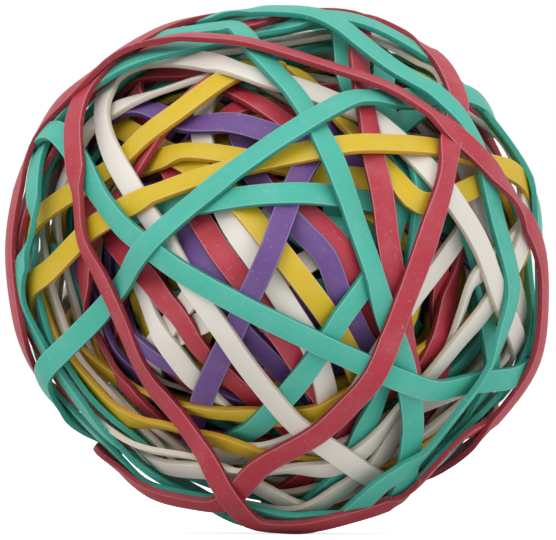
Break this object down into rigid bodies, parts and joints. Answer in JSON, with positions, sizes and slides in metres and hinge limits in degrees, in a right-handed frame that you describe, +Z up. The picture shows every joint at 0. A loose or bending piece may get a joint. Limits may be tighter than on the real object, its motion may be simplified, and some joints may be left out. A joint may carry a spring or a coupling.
{
  "type": "rubber band ball",
  "caption": "Ball of stretched coloured rubber bands wound tightly over and under one another round a solid wound core, kept as a store of bands.",
  "frame": {"origin": "centre of the ball, in the middle of the box round its outermost bands", "axes": "+Z up as the picture shows it, -Y towards the side pictured, +X to the right seen from that side"},
  "size_m": [0.078, 0.073, 0.077],
  "materials": {
    "core_rubber": "matte",
    "crimson_rubber": "satin, dyed right through",
    "teal_rubber": "satin, dyed right through",
    "white_rubber": "satin, dyed right through",
    "yellow_rubber": "satin, dyed right through",
    "purple_rubber": "satin, dyed right through"
  },
  "bodies": {
    "root": {"wound_core": "core_rubber", "band_01_purple": "purple_rubber", "band_02_crimson": "crimson_rubber", "band_03_purple": "purple_rubber", "band_04_yellow": "yellow_rubber", "band_05_purple": "purple_rubber", "band_06_purple": "purple_rubber", "band_07_white": "white_rubber", "band_08_yellow": "yellow_rubber", "band_09_yellow": "yellow_rubber", "band_10_white": "white_rubber", "band_11_crimson": "crimson_rubber", "band_12_purple": "purple_rubber", "band_13_yellow": "yellow_rubber", "band_14_teal": "teal_rubber", "band_15_teal": "teal_rubber", "band_16_purple": "purple_rubber", "band_17_yellow": "yellow_rubber", "band_18_teal": "teal_rubber", "band_19_crimson": "crimson_rubber", "band_20_white": "white_rubber", "band_21_yellow": "yellow_rubber", "band_22_crimson": "crimson_rubber", "band_23_purple": "purple_rubber", "band_24_white": "white_rubber", "band_25_crimson": "crimson_rubber", "band_26_yellow": "yellow_rubber", "band_27_white": "white_rubber", "band_28_white": "white_rubber", "band_29_purple": "purple_rubber", "band_30_teal": "teal_rubber", "band_31_yellow": "yellow_rubber", "band_32_crimson": "crimson_rubber", "band_33_crimson": "crimson_rubber", "band_34_teal": "teal_rubber", "band_35_white": "white_rubber", "band_36_white": "white_rubber", "band_37_white": "white_rubber", "band_38_yellow": "yellow_rubber", "band_39_teal": "teal_rubber", "band_40_teal": "teal_rubber", "band_41_white": "white_rubber", "band_42_teal": "teal_rubber", "band_43_white": "white_rubber", "band_44_yellow": "yellow_rubber", "band_45_white": "white_rubber", "band_46_white": "white_rubber", "band_47_crimson": "crimson_rubber", "band_48_yellow": "yellow_rubber", "band_49_crimson": "crimson_rubber", "band_50_teal": "teal_rubber", "band_51_teal": "teal_rubber", "band_52_teal": "teal_rubber", "band_53_teal": "teal_rubber", "band_54_teal": "teal_rubber", "band_55_teal": "teal_rubber", "band_56_crimson": "crimson_rubber", "band_57_teal": "teal_rubber", "band_58_crimson": "crimson_rubber", "band_59_crimson": "crimson_rubber"}
  },
  "joints": []
}
